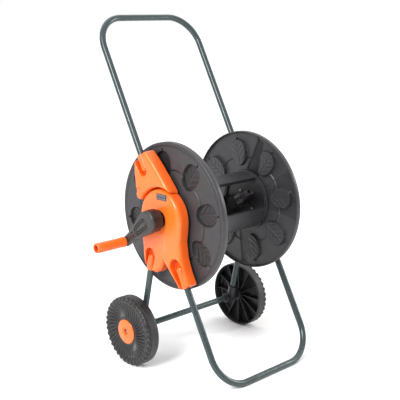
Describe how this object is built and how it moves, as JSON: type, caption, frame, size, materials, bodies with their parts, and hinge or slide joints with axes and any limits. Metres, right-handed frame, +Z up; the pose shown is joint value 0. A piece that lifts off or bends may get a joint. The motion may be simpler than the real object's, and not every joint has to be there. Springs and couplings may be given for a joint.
{
  "type": "garden hose reel cart",
  "caption": "Leaning steel-tube hose reel cart: plastic drum with crank between two side housings, fold-down handle, rear wheels.",
  "frame": {"origin": "on the floor, under the middle of the whole cart's box", "axes": "+X along the drum's axis from the crank side to the water inlet side, +Y to the rear (wheels and handle), +Z up"},
  "size_m": [0.524, 0.4678, 0.8631],
  "materials": {
    "frame_paint": "grey-green metallic powder coat, satin",
    "orange_plastic": "moulded, glossy",
    "drum_grey": "moulded, fine grain, satin",
    "black_plastic": "moulded, satin",
    "wheel_black": "moulded, ribbed, satin",
    "crank_grey": "moulded, satin",
    "bush_plastic": "natural acetal, plain",
    "badge_grey": "ribbed inset, satin",
    "pin_grey": "moulded, satin",
    "bright_steel": "zinc plated",
    "seal_rubber": "smooth"
  },
  "bodies": {
    "frame": {"stand_tube": "frame_paint", "rear_leg_left": "frame_paint", "rear_leg_right": "frame_paint", "wheel_axle": "bright_steel", "axle_tube": "frame_paint", "axle_bracket_left": "black_plastic", "axle_bracket_right": "black_plastic", "axle_washers": "bright_steel", "axle_push_nuts": "bright_steel", "side_cover_left": "orange_plastic", "side_cover_right": "orange_plastic", "side_plate_left": "black_plastic", "side_plate_right": "black_plastic", "hub_bush_left": "bush_plastic", "hub_bush_right": "bush_plastic", "cover_screws": "bright_steel", "badge_left": "badge_grey", "badge_right": "badge_grey", "handle_pin_left": "bright_steel", "handle_pin_right": "bright_steel", "inlet_elbow": "black_plastic", "inlet_nipple": "orange_plastic", "inlet_seals": "seal_rubber"},
    "handle": {"handle_tube": "frame_paint", "handle_bracket_left": "orange_plastic", "handle_bracket_right": "orange_plastic", "handle_screws": "bright_steel"},
    "drum": {"flange_left": "drum_grey", "flange_right": "drum_grey", "core_panel_1": "drum_grey", "core_panel_2": "drum_grey", "core_panel_3": "drum_grey", "drum_hub_left": "black_plastic", "drum_hub_right": "black_plastic", "hub_screws": "bright_steel", "outlet_elbow": "black_plastic", "outlet_nipple": "black_plastic", "crank_arm": "crank_grey", "crank_screw": "bright_steel", "grip_pin": "pin_grey"},
    "grip": {"crank_grip": "orange_plastic"},
    "wheel_left": {"wheel_left": "wheel_black", "wheel_cap_left": "orange_plastic"},
    "wheel_right": {"wheel_right": "wheel_black", "wheel_cap_right": "orange_plastic"}
  },
  "joints": [
    {"name": "drum_spin", "type": "hinge", "parent": "frame", "child": "drum", "pos_m": [0.044, -0.02886, 0.39], "axis": [1, 0, 0], "continuous": true},
    {"name": "grip_spin", "type": "hinge", "parent": "drum", "child": "grip", "pos_m": [-0.21975, 0.05151, 0.3272], "axis": [1, 0, 0], "continuous": true},
    {"name": "wheel_left_spin", "type": "hinge", "parent": "frame", "child": "wheel_left", "pos_m": [-0.154, 0.06414, 0.0885], "axis": [1, 0, 0], "continuous": true},
    {"name": "wheel_right_spin", "type": "hinge", "parent": "frame", "child": "wheel_right", "pos_m": [0.242, 0.06414, 0.0885], "axis": [1, 0, 0], "continuous": true},
    {"name": "handle_fold", "type": "hinge", "parent": "frame", "child": "handle", "pos_m": [0.044, 0.04514, 0.4385], "axis": [-1, 0, 0], "range_deg": [0, 125]}
  ]
}
